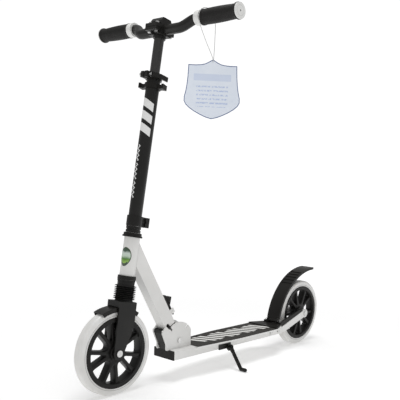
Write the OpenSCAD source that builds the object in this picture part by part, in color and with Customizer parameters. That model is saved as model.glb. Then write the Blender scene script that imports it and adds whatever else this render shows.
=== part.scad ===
// Folding kick scooter for children, with two solid wheels, a sprung fork and a height-adjustable bar.
// X runs forwards, Y to the rider's left, Z up. The origin is on the ground, midway between the axles.
// The steering frame has its origin on the steering axis at axle level, its Z up that axis, its X forwards.

/* [Overall] */
// Distance between the two axles
wheel_base = 730; // [600:1:880]
// Width over the ends of the handlebar
bar_width = 442; // [375:1:560]
// Station of the grips on the steering axis, from axle level
grip_station = 748; // [735:1:860]
// Rearward lean of the steering axis, degrees
steer_lean = 9; // [6:0.5:14]
// Distance of the front axle ahead of the steering axis
fork_rake = 10; // [4:1:20]

/* [Wheels] */
// Outer diameter of both wheels
wheel_d = 200; // [170:1:205]
// Radial thickness of the polyurethane tyre
tyre_t = 17; // [12:1:24]
// Width of the wheel core
core_w = 29; // [24:1:29]
// Width of the tyre
tyre_w = 25; // [20:1:28]
// Radial depth of the core's rim
rim_t = 11; // [8:1:16]
// Radius of the core's hub
hub_r = 18; // [16:1:24]
// Number of paired spokes
spoke_pairs = 5; // [3:1:6]
// Width of one spoke
spoke_w = 8.5; // [6:0.5:12]
// Angle between the two spokes of a pair, at the rim
spoke_split = 31; // [20:1:40]
// Outer diameter of a wheel bearing
bearing_d = 22; // [19:1:26]
// Width of a wheel bearing
bearing_w = 7; // [5:1:8]
// Diameter of both axle bolts
axle_d = 8; // [6:0.5:10]

/* [Fork] */
// Distance of the blades' inner faces from the centre plane
blade_inner_y = 17; // [16:0.5:22]
// Thickness of a blade
blade_t = 4; // [3:0.5:6]
// Height of the crown
crown_h = 13; // [10:1:18]
// Radial gap between the tyre and the mudguard
guard_gap = 3; // [2:0.5:8]
// Thickness of the mudguard
guard_t = 2; // [1.5:0.5:3]
// Length of the bellows between crown and headset
boot_len = 48; // [42:1:70]
// Diameter of the sliding rod
slider_d = 16; // [14:0.5:17]
// Length of the sliding rod above the crown
slider_len = 112; // [90:1:150]

/* [Steering column] */
// Length of the head tube
head_len = 88; // [75:1:110]
// Outer diameter of the head tube
head_d = 36; // [34:1:44]
// Wall of the head tube
head_wall = 2.5; // [2:0.5:3]
// Outer diameter of the steerer
steerer_d = 25.4; // [24:0.1:25.6]
// Outer diameter of the outer stem tube
stem_d = 30.5; // [30.5:0.5:36]
// Wall of the outer stem tube
stem_wall = 2.2; // [1.8:0.1:2.3]
// Length of the outer stem tube
stem_len = 341; // [285:1:400]
// Length of steerer inside the outer stem tube
steerer_grip_len = 50; // [35:1:80]
// Outer diameter of the inner tube
inner_d = 22.2; // [20:0.1:23]
// Length of inner tube inside the outer tube as stored
inner_buried_len = 200; // [150:1:225]

/* [Handlebar] */
// Outer diameter of the handlebar
bar_d = 22.2; // [20:0.1:25.4]
// Rise from the clamped middle to the grips
bar_rise = 19.5; // [14:0.5:40]
// Rearward set of the grips from the clamped middle
bar_sweep = 11.5; // [0:0.5:20]
// Bend angle of the riser, degrees
bar_bend = 45; // [25:1:55]
// Half length of the straight clamped middle
bar_middle = 58; // [50:1:80]
// Length of a grip
grip_len = 101; // [80:1:112]
// Diameter of a grip
grip_d = 31; // [28:1:36]

/* [Deck] */
// Height of the walking surface above the ground
deck_top_z = 80; // [78:1:95]
// Height of the deck beam
beam_h = 19; // [17:1:24]
// Width of the deck beam
beam_w = 70; // [69:1:90]
// Wall of the deck beam
beam_wall = 2; // [1.5:0.5:3]
// X of the beam's front end, ahead of the origin
beam_front_x = 205; // [200:1:240]
// Width of the platform
platform_w = 108; // [100:1:130]
// Width of the platform at its front edge
platform_front_w = 84; // [76:1:108]
// Thickness of the platform
platform_t = 3.8; // [3:0.1:5]
// Thickness of the grip sheet
grip_sheet_t = 1.2; // [0.8:0.1:2]
// Gap between the two rear arms
arm_inner_w = 52; // [44:1:56]
// Thickness of a rear arm
arm_t = 6; // [4:0.5:7]

/* [Fold joint] */
// X of the fold pivot, ahead of the origin
fold_x = 173; // [165:1:180]
// Height of the fold pivot above the beam
fold_rise = 24; // [20:1:30]
// Tilt of the down tube from vertical, degrees
down_tilt = 30.5; // [28:0.5:33]
// Depth of the down tube, fore and aft
down_depth = 34; // [30:1:40]
// Width of the down tube
down_w = 28; // [24:1:34]
// Wall of the down tube
down_wall = 2; // [1.5:0.5:3]
// Thickness of a fold plate
plate_t = 3.5; // [3:0.5:5]
// Distance of the lock pin from the fold pivot
lock_r = 51; // [48:1:54]
// Diameter of the lock pin
lock_d = 8; // [6:0.5:9]
// Lift of the lock pin
lock_lift = 5; // [3:0.5:6]

/* [Brake and stand] */
// Width of the rear fender
fender_w = 44; // [36:1:46]
// Thickness of the rear fender
fender_t = 3; // [2:0.5:4]
// Outer radius of the rear fender's curve
fender_r = 176; // [170:1:180]
// Diameter of the kickstand rod
stand_d = 10; // [8:0.5:11]
// X of the kickstand pivot
stand_x = 5; // [-40:1:60]

/* [Hang tag] */
// Width of the shield-shaped tag
tag_w = 112; // [90:1:130]
// Thickness of the tag
tag_t = 1; // [0.8:0.1:2]

/* [Clearances] */
// Radial clearance of a running or sliding fit
run_gap = 0.05; // [0.03:0.01:0.08]
// Radial gap where a fixed piece seats in another
seat_gap = 0.1; // [0.05:0.05:0.2]
// Side gap between pieces that move past each other
side_gap = 0.4; // [0.3:0.1:0.8]

/* [Hidden] */
$fn = 96;
wheel_r = wheel_d / 2;
rim_r = wheel_r - tyre_t;
front_x = wheel_base / 2;
rear_x = -wheel_base / 2;
front_spoke_phase = -6;
rear_spoke_phase = -15;
spoke_hub_split = 20;
shoulder_r = 6;
steer_x = front_x - fork_rake * cos(steer_lean);
steer_z = wheel_r - fork_rake * sin(steer_lean);

// Stations on the steering axis, from axle level upwards
guard_r = wheel_r + guard_gap;
crown_z0 = guard_r + guard_t + 0.2;
crown_z1 = crown_z0 + crown_h;
race_z0 = crown_z1 + boot_len - 4;
race_h = 5;
race_z1 = race_z0 + race_h;
cup_h = 9;
head_z0 = race_z1 + cup_h;
head_z1 = head_z0 + head_len;
upper_cup_h = 10;
nut_z0 = head_z1 + upper_cup_h + 0.6;
nut_h = 6;
nut_washer_h = 2;
stem_z0 = nut_z0 + 2 * nut_h + nut_washer_h + 1;
stem_z1 = stem_z0 + stem_len;
inner_z0 = stem_z1 - inner_buried_len;
bar_z = grip_station - bar_rise;

// Headset and column
head_id = head_d - 2 * head_wall;
steerer_id = slider_d + 2 * run_gap;
cup_d = head_d + 6;
upper_cup_d = head_d + 9.5;
cup_bore_d = steerer_d + 1.6;
spigot_h = 8;
race_d = 34;
headset_bearing_d = race_d + 1;
headset_bearing_h = 7;
nut_d = 34;
boot_d = 50;
boot_neck_d = race_d + 5;
boot_wall = 1.6;
boot_pleats = 8;
boot_z1 = race_z1 - 0.3;
boot_pleat_z0 = crown_z1 + 3;
boot_pleat_z1 = boot_z1 - 12;
spring_d = 27;
spring_wire = 3.2;
spring_turns = 5;
stem_id = stem_d - 2 * stem_wall;
collar_d = stem_d + 5.5;
collar_h = 23;
collar_reach = 37;
clamp_h = 13;
clamp_reach = 30;
ear_half = 11;
slot_w = 3;
clamp_bolt_x = 24;
cam_y = 17;
sleeve_len = 45;
rest_h = 11;
rest_half = 31;
rest_drop = 32;

// Fork
blade_front = 28;
blade_back = 23;
blade_foot_r = 14.5;
fork_y1 = blade_inner_y + blade_t;
guard_half = blade_inner_y - 0.6;
guard_skirt = 8;
guard_start = 57;
guard_end = 116;
bolt_head_r = 7.8;
bolt_head_h = 3;

// Deck
beam_z1 = deck_top_z - grip_sheet_t - platform_t;
beam_z0 = beam_z1 - beam_h;
beam_rear_x = rear_x + 127;
platform_z1 = beam_z1 + platform_t;
base_plate_t = 4;
platform_front_x = fold_x - 43;
platform_wide_x = platform_front_x - 150;
platform_narrow_x = beam_rear_x + 43;
sheet_rear_x = platform_narrow_x + 6;
cap_t = 3;
arm_y0 = arm_inner_w / 2;
arm_y1 = arm_y0 + arm_t;
arm_front_x = beam_rear_x + 70;
arm_z0 = beam_z0 + beam_wall + 0.3;
arm_z1 = beam_z1 - beam_wall - 0.3;
arm_end_r = 13;
arm_bolt_d = 6;
arm_bolt_x = [beam_rear_x + 15, beam_rear_x + 52];
tail_t = 4;
wing_h = 9;

// Fold joint
fold_z = beam_z1 + fold_rise;
plate_y0 = down_w / 2 + side_gap;
plate_y1 = plate_y0 + plate_t;
pivot_d = 10;
plate_rim_r = lock_r - lock_d / 2 - 0.4;
lock_tilt = 11;
lock_angle = 90 - down_tilt - lock_tilt;
fold_range = 80;
block_r = 17;
tube_shift = 4;
tube_start = lock_r - 3;
// Reach of the down tube from the pivot, past the steering axis
tube_len = ((steer_x - fold_x) * cos(steer_lean) + (steer_z - fold_z) * sin(steer_lean))
    / sin(down_tilt + steer_lean) + 30;
lever_z = lock_r + 22;
lever_off = down_depth / 2 + 12;
lever_up = 46;
lever_w = 10;
lever_pin_d = 4;

// Rear fender and its hinge
fender_cx = rear_x - 48;
fender_cz = wheel_r - 35;
fender_start = 8;
fender_end = 90;
hinge_r = fender_r - fender_t / 2;
hinge_x = fender_cx + hinge_r * cos(fender_start);
hinge_z = fender_cz + hinge_r * sin(fender_start);
fender_pin_d = 5;
barrel_r = 5.5;
barrel_half = 14;
pad_angle = 58;
pad_gap = 6.4;

// Kickstand, in a frame whose Z is the pivot
stand_pivot_d = 5;
stand_y = beam_w / 2 + 5 + stand_d / 2;
stand_z = beam_z0 + 2;
stand_lean = 36;
stand_len = (stand_z - stand_d / 2 - 0.1) / cos(stand_lean);
stand_foot = 15;

// Bends of the bar
bend_r = 24;
riser_h = norm([bar_rise, bar_sweep]);
riser_len = (riser_h - 2 * bend_r * (1 - cos(bar_bend))) / sin(bar_bend);
riser_y = 2 * bend_r * sin(bar_bend) + riser_len * cos(bar_bend);

// Grips, plugs and collars
plug_w = 3;
grip_y1 = bar_width / 2 - plug_w;
grip_y0 = grip_y1 - grip_len;
grip_collar_w = 15;
bar_wall = 2;

// Hang tag and its string, from the left grip's axis
tag_y = 150;
tag_top = -89;
tag_turn = 40;
tag_half = [[0, 0], [tag_w * 0.09, -4], [tag_w * 0.21, -10], [tag_w * 0.465, -11.5], [tag_w * 0.475, -36],
            [tag_w * 0.5, -62], [tag_w * 0.545, -85], [tag_w * 0.46, -98], [tag_w * 0.26, -113], [0, -123]];
string_d = 1.4;
string_points = [
    [1.1, tag_y + 0.9, -95], [3.4, tag_y + 1, -85], [9, tag_y - 14, -52], [15, tag_y - 26, -20],
    [17.8, tag_y - 29, -2], [14.5, tag_y - 28, 10.5], [6, tag_y - 26, 17], [-4, tag_y - 22, 17.5],
    [-13, tag_y - 19, 12], [-17.6, tag_y - 16, 2], [-16.5, tag_y - 12, -14], [-9, tag_y - 5, -50],
    [-3, tag_y - 1, -86], [-1.1, tag_y - 0.9, -95]
];

// Frames and shared shapes

module at_steer() translate([steer_x, 0, steer_z]) rotate([0, -steer_lean, 0]) children();

module at_fold() translate([fold_x, 0, fold_z]) rotate([0, down_tilt, 0]) children();

// Along the down tube, whose centre line passes ahead of the fold pivot
module at_tube() at_fold() translate([tube_shift, 0, 0]) children();

// Z along the kickstand's pivot, X forwards, Y down along the leg
module at_stand() translate([stand_x, stand_y, stand_z]) rotate([-90 + stand_lean, 0, 0]) children();

module at_front_axle() at_steer() translate([fork_rake, 0, 0]) children();

module at_rear_axle() translate([rear_x, 0, wheel_r]) children();

module both_sides() {
    children();
    mirror([0, 1, 0]) children();
}

// A cylinder along Y, from y0 to y1
module rod_y(d, y0, y1) translate([0, y1, 0]) rotate([90, 0, 0]) cylinder(d = d, h = y1 - y0);

// A ring along Z
module ring(od, id, h) difference() {
    cylinder(d = od, h = h);
    translate([0, 0, -1]) cylinder(d = id, h = h + 2);
}

// A ring along Y, from y0 to y1
module ring_y(od, id, y0, y1) translate([0, y1, 0]) rotate([90, 0, 0]) ring(od, id, y1 - y0);

// An XZ outline extruded along Y, from y0 to y1
module slab_y(y0, y1) translate([0, y1, 0]) rotate([90, 0, 0]) linear_extrude(y1 - y0) children();

// A box from its lowest to its highest corner
module block(low, high) translate(low) cube(high - low);

function unit(v) = v / norm(v);
function path_dir(p, i) = unit(p[min(i + 1, len(p) - 1)] - p[max(i - 1, 0)]);

// A tube swept along points, with rings square to the path
module sweep(points, d, sides, side_hint) {
    n = len(points);
    rings = [for (i = [0:n - 1])
        let (t = path_dir(points, i), u = unit(cross(t, side_hint)), v = cross(t, u))
        for (k = [0:sides - 1]) points[i] + d / 2 * (cos(360 * k / sides) * u + sin(360 * k / sides) * v)];
    walls = [for (i = [0:n - 2]) for (k = [0:sides - 1])
        let (a = i * sides + k, b = i * sides + (k + 1) % sides)
        for (f = [[a, a + sides, b + sides], [a, b + sides, b]]) f];
    ends = [[for (k = [0:sides - 1]) k], [for (k = [sides - 1:-1:0]) (n - 1) * sides + k]];
    polyhedron(rings, concat(walls, ends));
}

// A coil spring along Z, with its ends at 0 and h
module coil(mean_r, wire, turns, h, steps) {
    n = round(turns * steps);
    sweep([for (i = [0:n])
        let (a = 360 * turns * i / n)
        [mean_r * cos(a), mean_r * sin(a), wire / 2 + (h - wire) * i / n]], wire, 8, [0, 0, 1]);
}

// A point on a smooth curve through four points, between the middle two
function between(a, b, c, d, t) = b + t * (c - a) / 2 + t * t * (a - 2.5 * b + 2 * c - d / 2)
    + t * t * t * (-a + 3 * b - 3 * c + d) / 2;
function smooth(p, steps) = concat([for (i = [0:len(p) - 2]) for (k = [0:steps - 1])
    between(p[max(i - 1, 0)], p[i], p[i + 1], p[min(i + 2, len(p) - 1)], k / steps)], [p[len(p) - 1]]);

// Deck

module platform_outline(inset, rear) {
    half = platform_w / 2 - inset;
    side = concat([[platform_front_x - inset, platform_front_w / 2 - inset], [platform_wide_x, half]],
        rear < platform_narrow_x ? [[platform_narrow_x, half]] : [],
        [[rear, half - max(0, platform_narrow_x - rear) * 0.45]]);
    polygon(concat(side, [for (i = [len(side) - 1:-1:0]) [side[i][0], -side[i][1]]]));
}

module deck_beam() color("whitesmoke") difference() {
    block([beam_rear_x, -beam_w / 2, beam_z0], [beam_front_x - 0.1, beam_w / 2, beam_z1]);
    block([beam_rear_x - 1, -beam_w / 2 + beam_wall, beam_z0 + beam_wall],
          [beam_front_x + 1, beam_w / 2 - beam_wall, beam_z1 - beam_wall]);
    for (x = arm_bolt_x) translate([x, 0, (beam_z0 + beam_z1) / 2]) rod_y(arm_bolt_d + 0.4, -beam_w, beam_w);
}

// Covers the beam's front end and the end of the plate on top, with a plug in the beam
module beam_end_cap() color("dimgray") union() {
    block([beam_front_x, -beam_w / 2, beam_z0], [beam_front_x + cap_t, beam_w / 2, beam_z1 + base_plate_t]);
    block([beam_front_x - 12, -beam_w / 2 + beam_wall + 0.3, beam_z0 + beam_wall + 0.3],
          [beam_front_x + 0.5, beam_w / 2 - beam_wall - 0.3, beam_z1 - beam_wall - 0.3]);
}

module platform() color("lightgray") translate([0, 0, beam_z1]) linear_extrude(platform_t)
    platform_outline(0, beam_rear_x);

module grip_sheet() color("dimgray") translate([0, 0, platform_z1]) linear_extrude(grip_sheet_t)
    platform_outline(1, sheet_rear_x);

module fold_plate_outline() difference() {
    union() {
        intersection() {
            circle(r = plate_rim_r);
            translate([-41, -fold_rise + base_plate_t + 0.1]) square([85, 86]);
        }
        // The front lobe, ahead of the lock pin
        polygon([[0, 0], [62 * cos(lock_angle - 6), 62 * sin(lock_angle - 6)],
                 [62 * cos(lock_angle - 16), 62 * sin(lock_angle - 16)],
                 [57, 31], [57, 24], [37, -fold_rise + base_plate_t + 0.1], [31, -fold_rise + base_plate_t + 0.1],
                 [31, -fold_rise + 1], [0, -fold_rise + 1]]);
        translate([-41, -fold_rise + 1]) square([72, 31]);
    }
    for (a = [lock_angle, lock_angle + fold_range]) rotate(a) translate([plate_rim_r - 9, -2.5]) square([20, 5]);
    circle(d = pivot_d + 2 * seat_gap);
}

// Base plate with the two upright plates that the stem folds between
module fold_bracket() color("whitesmoke") {
    block([platform_front_x + 0.5, -beam_w / 2, beam_z1], [beam_front_x - 0.1, beam_w / 2, beam_z1 + base_plate_t]);
    both_sides() translate([fold_x, 0, fold_z]) slab_y(plate_y0, plate_y1) fold_plate_outline();
}

// Plastic stop that fills the front of the gap between the plates, ahead of the fold block
module fold_stop() color("dimgray") translate([fold_x, 0, fold_z]) slab_y(0.3 - plate_y0, plate_y0 - 0.3) difference() {
    polygon([[14, -fold_rise + base_plate_t + 0.1], [36, -fold_rise + base_plate_t + 0.1], [55.5, 24.4],
             [55.5, 30.4], [52, 33], [44, 33.5]]);
    rotate(-down_tilt) translate([-60, -60]) square([60 + tube_shift + down_depth / 2 + side_gap, 160]);
}

module fold_pivot_bolt() color("silver") translate([fold_x, 0, fold_z]) {
    rod_y(pivot_d, -plate_y1 - 4, plate_y1 + 0.5);
    rod_y(pivot_d + 3, plate_y1 + 0.1, plate_y1 + 3);
    rod_y(pivot_d + 3, -plate_y1 - 4.5, -plate_y1 - 0.1);
}

module rear_arm(y0, y1) difference() {
    union() {
        slab_y(y0, y1) polygon([[arm_front_x, arm_z0], [beam_rear_x - 24, arm_z0],
            [rear_x + 4, wheel_r - arm_end_r * 0.85], [rear_x + 4, wheel_r + arm_end_r * 0.87],
            [beam_rear_x - 3, arm_z1], [arm_front_x, arm_z1]]);
        at_rear_axle() rod_y(2 * arm_end_r, y0, y1);
    }
    at_rear_axle() rod_y(axle_d + 2 * seat_gap, y0 - 1, y1 + 1);
    for (x = arm_bolt_x) translate([x, 0, (beam_z0 + beam_z1) / 2]) rod_y(arm_bolt_d + 0.4, y0 - 1, y1 + 1);
}

module rear_arm_left() color("whitesmoke") rear_arm(arm_y0, arm_y1);

module rear_arm_right() color("whitesmoke") rear_arm(-arm_y1, -arm_y0);

module arm_bolts() color("silver") for (x = arm_bolt_x) translate([x, 0, (beam_z0 + beam_z1) / 2]) {
    rod_y(arm_bolt_d, -beam_w / 2 - 2, beam_w / 2 + 2);
    both_sides() rod_y(arm_bolt_d + 4, beam_w / 2 + 0.1, beam_w / 2 + 3);
}

// Moulded cover over the rear end, with the fender's hinge ears and a wing along each arm
module tail_cover() color("dimgray") difference() {
    union() {
        translate([0, 0, platform_z1]) linear_extrude(tail_t) difference() {
            platform_outline(1, beam_rear_x - 2);
            translate([sheet_rear_x - 0.5, -platform_w]) square([400, 2 * platform_w]);
        }
        block([beam_rear_x - 10, -beam_w / 2 + 4, platform_z1], [beam_rear_x, beam_w / 2 - 4, platform_z1 + tail_t]);
        both_sides() slab_y(barrel_half + side_gap, barrel_half + side_gap + 5) {
            translate([hinge_x, hinge_z]) circle(r = 7);
            translate([hinge_x - 7, platform_z1]) square([14, hinge_z - platform_z1]);
        }
        both_sides() slab_y(arm_y0 + 0.5, arm_y1 - 0.5) polygon([
            [beam_rear_x + 1, platform_z1], [beam_rear_x + 1, platform_z1 + wing_h],
            [rear_x + 14, wheel_r + arm_end_r + wing_h - 3], [rear_x + 14, wheel_r + arm_end_r - 3],
            [beam_rear_x - 3, arm_z1 + 1], [beam_rear_x - 0.3, platform_z1]]);
    }
    translate([hinge_x, 0, hinge_z]) {
        rod_y(fender_pin_d + 2 * seat_gap, -40, 40);
        rod_y(2 * barrel_r + 3, -barrel_half - side_gap, barrel_half + side_gap);
    }
}

module fender_pin() color("silver") translate([hinge_x, 0, hinge_z]) {
    rod_y(fender_pin_d, -barrel_half - 7.5, barrel_half + 6);
    rod_y(fender_pin_d + 3, barrel_half + side_gap + 5.1, barrel_half + 8);
}

// Torsion spring outside the right ear
module fender_spring() color("darkgray") translate([hinge_x, -barrel_half - side_gap - 5.2, hinge_z])
    rotate([90, 0, 0]) coil(4.4, 1.4, 3, 6, 12);

module stand_bracket() color("dimgray") {
    difference() {
        union() {
            block([stand_x - 9, beam_w / 2 + 0.05, beam_z0 - 2], [stand_x + 38, beam_w / 2 + 2.5, beam_z0 + 12]);
            at_stand() translate([0, 0, -9.5]) cylinder(r = 7, h = 6.2);
        }
        block([-200, 0, 0], [300, beam_w / 2 + 0.05, 100]);
        at_stand() translate([0, 0, -20]) cylinder(d = stand_pivot_d + 2 * seat_gap, h = 40);
    }
    at_stand() {
        translate([0, 0, -9]) cylinder(d = stand_pivot_d, h = 12.6);
        translate([0, 0, 3.4]) cylinder(d = stand_pivot_d + 4, h = 2.4);
    }
}

module rear_axle_set() color("silver") at_rear_axle() {
    rod_y(axle_d, -arm_y1 - 5, arm_y1 + 1);
    rod_y(2 * bolt_head_r, arm_y1 + 0.1, arm_y1 + bolt_head_h);
    rotate([0, 15, 0]) translate([0, -arm_y1 - 0.1, 0]) rotate([90, 0, 0]) cylinder(r = bolt_head_r, h = 4, $fn = 6);
    both_sides() ring_y(axle_d + 6, axle_d + 2 * seat_gap, core_w / 2 + 0.2, arm_y0 - 0.1);
}

// Folding front frame

module down_tube() color("whitesmoke") difference() {
    at_tube() difference() {
        union() {
            block([-down_depth / 2, -down_w / 2, tube_start], [down_depth / 2, down_w / 2, tube_len]);
            both_sides() block([-lever_off - 5, lever_w / 2 + side_gap, lever_z - 6],
                               [-down_depth / 2 + 0.5, lever_w / 2 + side_gap + 3, lever_z + 6]);
        }
        block([-down_depth / 2 + down_wall, -down_w / 2 + down_wall, tube_start - 1],
              [down_depth / 2 - down_wall, down_w / 2 - down_wall, tube_len + 1]);
        translate([-lever_off, 0, lever_z]) rod_y(lever_pin_d + 2 * seat_gap, -20, 20);
    }
    at_steer() cylinder(d = head_d + 0.2, h = head_z1 + 100);
    at_steer() block([0, -40, 0], [90, 40, head_z1 + 100]);
    at_fold() lock_slot();
}

module head_tube() color("whitesmoke") at_steer() translate([0, 0, head_z0]) ring(head_d, head_id, head_len);

module lock_slot() rotate([0, lock_tilt, 0]) {
    for (r = [lock_r, lock_r + lock_lift]) translate([0, 0, r]) rod_y(lock_d + 2 * side_gap, -30, 30);
    block([-lock_d / 2 - side_gap, -30, lock_r], [lock_d / 2 + side_gap, 30, lock_r + lock_lift]);
}

module fold_block() color("dimgray") at_fold() difference() {
    union() {
        rod_y(2 * block_r, -down_w / 2, down_w / 2);
        slab_y(-down_w / 2, down_w / 2) polygon([[-block_r, 0], [block_r, 0], [tube_shift + down_depth / 2, 24],
            [tube_shift + down_depth / 2, tube_start - 0.1], [tube_shift - down_depth / 2, tube_start - 0.1]]);
        translate([tube_shift, 0, tube_start])
            block([-down_depth / 2 + down_wall + 0.2, -down_w / 2 + down_wall + 0.2, -0.5],
                  [down_depth / 2 - down_wall - 0.2, down_w / 2 - down_wall - 0.2, 43]);
    }
    rod_y(pivot_d + 2 * run_gap, -30, 30);
    lock_slot();
}

module headset_cups() color("dimgray") at_steer() {
    // Lower cup, its bearing pocket open downwards
    difference() {
        union() {
            translate([0, 0, race_z1]) cylinder(d = cup_d, h = cup_h - 0.1);
            translate([0, 0, head_z0 - 0.2]) cylinder(d = head_id - 2 * seat_gap, h = spigot_h);
        }
        translate([0, 0, race_z1 - 1]) cylinder(d = headset_bearing_d + 2 * seat_gap, h = headset_bearing_h + 1.2);
        translate([0, 0, race_z1]) cylinder(d = cup_bore_d, h = 40);
    }
    // Upper cup, its bearing pocket open upwards
    difference() {
        union() {
            translate([0, 0, head_z1 + 0.1]) cylinder(d = upper_cup_d, h = 4);
            translate([0, 0, head_z1 + 0.1]) cylinder(d = cup_d - 1, h = upper_cup_h - 0.1);
            translate([0, 0, head_z1 - spigot_h]) cylinder(d = head_id - 2 * seat_gap, h = spigot_h + 1);
        }
        translate([0, 0, head_z1 + upper_cup_h - headset_bearing_h - 0.2])
            cylinder(d = headset_bearing_d + 2 * seat_gap, h = 20);
        translate([0, 0, head_z1 - 20]) cylinder(d = cup_bore_d, h = 40);
    }
}

module headset_bearings() color("silver") at_steer()
    for (z = [race_z1 + 0.1, head_z1 + upper_cup_h - headset_bearing_h]) translate([0, 0, z])
        ring(headset_bearing_d, steerer_d + 2 * run_gap, headset_bearing_h);

module lever_pin() color("silver") at_tube() translate([-lever_off, 0, lever_z])
    rod_y(lever_pin_d, -lever_w / 2 - side_gap - 3.5, lever_w / 2 + side_gap + 3.5);

module lock_pin() color("dimgray") at_fold() rotate([0, lock_tilt, 0]) translate([0, 0, lock_r])
    rod_y(lock_d, -plate_y1, plate_y1);

// Lever behind the down tube, with a thumb fin at its upper end
module release_lever() color("dimgray") at_tube() translate([-lever_off, 0, lever_z]) difference() {
    union() {
        block([-1.5, -lever_w / 2, -12], [1.5, lever_w / 2, lever_up]);
        rod_y(9, -lever_w / 2, lever_w / 2);
        slab_y(-lever_w / 2 - 2, lever_w / 2 + 2)
            polygon([[1.5, lever_up], [-14, lever_up - 13], [-12, lever_up - 16], [-1, lever_up - 28]]);
    }
    rod_y(lever_pin_d + 2 * run_gap, -30, 30);
}

// Steering column

module steerer() color("silver") at_steer() difference() {
    union() {
        translate([0, 0, race_z0]) cylinder(d = steerer_d, h = stem_z0 + steerer_grip_len - race_z0);
        translate([0, 0, race_z0]) cylinder(d = race_d, h = race_h);
    }
    translate([0, 0, race_z0 - 1]) cylinder(d = steerer_id, h = stem_len);
}

module headset_locknuts() color("dimgray") at_steer() {
    bore_d = steerer_d + 2 * seat_gap;
    translate([0, 0, nut_z0]) ring(nut_d, bore_d, nut_h);
    translate([0, 0, nut_z0 + nut_h + 0.2]) ring(nut_d - 3, bore_d, nut_washer_h);
    translate([0, 0, nut_z0 + nut_h + nut_washer_h + 0.4]) ring(nut_d, bore_d, nut_h);
}

module stem_tube() color("dimgray") at_steer() translate([0, 0, stem_z0]) ring(stem_d, stem_id, stem_len);

// Split collar that grips the stem tube on the steerer, ears to the rear
module stem_collar() color("dimgray") at_steer() translate([0, 0, stem_z0]) difference() {
    union() {
        cylinder(d = collar_d, h = collar_h);
        block([-collar_reach, -9, 0], [0, 9, collar_h]);
    }
    translate([0, 0, -1]) cylinder(d = stem_d + 2 * seat_gap, h = collar_h + 2);
    block([-collar_reach - 1, -slot_w / 2, -1], [0, slot_w / 2, collar_h + 1]);
    for (z = [6.5, collar_h - 6.5]) translate([-collar_d / 2 - 9, 0, z]) rod_y(6.4, -20, 20);
}

module collar_bolts() color("silver") at_steer() for (z = [6.5, collar_h - 6.5])
    translate([-collar_d / 2 - 9, 0, stem_z0 + z]) {
        rod_y(6, -12, 9.5);
        rod_y(10, 9.1, 13);
        rod_y(10, -12.5, -9.1);
    }

module height_sleeve() color("dimgray") at_steer() {
    translate([0, 0, stem_z1 - sleeve_len])
        ring(stem_id - 2 * seat_gap, inner_d + 2 * run_gap, sleeve_len + 1);
    translate([0, 0, stem_z1 + 0.1]) ring(stem_d - 1, inner_d + 2 * run_gap, 2);
}

// Split clamp at the top of the stem tube, ears to the front
module height_clamp() color("dimgray") at_steer() translate([0, 0, stem_z1 - clamp_h]) difference() {
    union() {
        cylinder(d = stem_d + 6.5, h = clamp_h);
        block([0, -ear_half, 0], [clamp_reach, ear_half, clamp_h]);
    }
    translate([0, 0, -1]) cylinder(d = stem_d + 2 * seat_gap, h = clamp_h + 2);
    block([0, -slot_w / 2, -1], [clamp_reach + 1, slot_w / 2, clamp_h + 1]);
    translate([clamp_bolt_x, 0, clamp_h / 2]) rod_y(6.4, -30, 30);
}

// Skewer through the clamp's ears, with the barrel that the cam lever turns on
module clamp_bolt() color("silver") at_steer() translate([clamp_bolt_x, 0, stem_z1 - clamp_h / 2]) {
    rod_y(6, -ear_half - 4, cam_y);
    rod_y(11, -ear_half - 4.5, -ear_half - 0.1);
    translate([0, cam_y, -5.5]) cylinder(d = 4, h = 11);
}

module clamp_lever() color("dimgray") at_steer() translate([clamp_bolt_x, cam_y, stem_z1 - clamp_h / 2]) difference() {
    translate([0, 0, -5]) linear_extrude(10) {
        circle(r = 5);
        polygon([[3, -3], [4, 4], [-20, 11], [-44, 8], [-46, 4], [-22, 5], [-8, -2]]);
    }
    translate([0, 0, -10]) cylinder(d = 4 + 2 * run_gap, h = 20);
    block([-6, -10, -3.4], [10, 5, 3.4]);
}

// Bracket with two short wings below the clamp
module bar_rest() color("dimgray") at_steer() translate([0, 0, stem_z1 - rest_drop]) rotate([0, 0, 20]) difference() {
    union() {
        cylinder(d = stem_d + 7, h = rest_h);
        block([-7, -rest_half, 0], [8, rest_half, rest_h - 2]);
        both_sides() block([-9, rest_half - 5, 0], [10, rest_half, rest_h]);
    }
    translate([0, 0, -1]) cylinder(d = stem_d + 2 * seat_gap, h = rest_h + 2);
}

// Fork

module fork_slider() color("silver") at_steer() translate([0, 0, crown_z0 + 1]) cylinder(d = slider_d, h = crown_h - 1 + slider_len);

module fork_crown() color("dimgray") at_steer() difference() {
    block([-blade_back + 1, -blade_inner_y + 0.05, crown_z0], [blade_front - 0.5, blade_inner_y - 0.05, crown_z1]);
    translate([0, 0, crown_z0 + 0.8]) cylinder(d = slider_d + 2 * seat_gap, h = crown_h);
}

module fork_blade(y0, y1) difference() {
    union() {
        slab_y(y0, y1) polygon([[-blade_back + 1, crown_z1 - 0.4], [blade_front, crown_z1 - 0.4],
            [fork_rake + blade_foot_r - 0.5, 1.5], [fork_rake - blade_foot_r + 0.5, 1.5],
            [-blade_back + 5, 45], [-blade_back, 75]]);
        translate([fork_rake, 0, 0]) rod_y(2 * blade_foot_r, y0, y1);
    }
    translate([fork_rake, 0, 0]) rod_y(axle_d + 2 * seat_gap, y0 - 1, y1 + 1);
}

module fork_blade_left() color("dimgray") at_steer() fork_blade(blade_inner_y, fork_y1);

module fork_blade_right() color("dimgray") at_steer() fork_blade(-fork_y1, -blade_inner_y);

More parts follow.
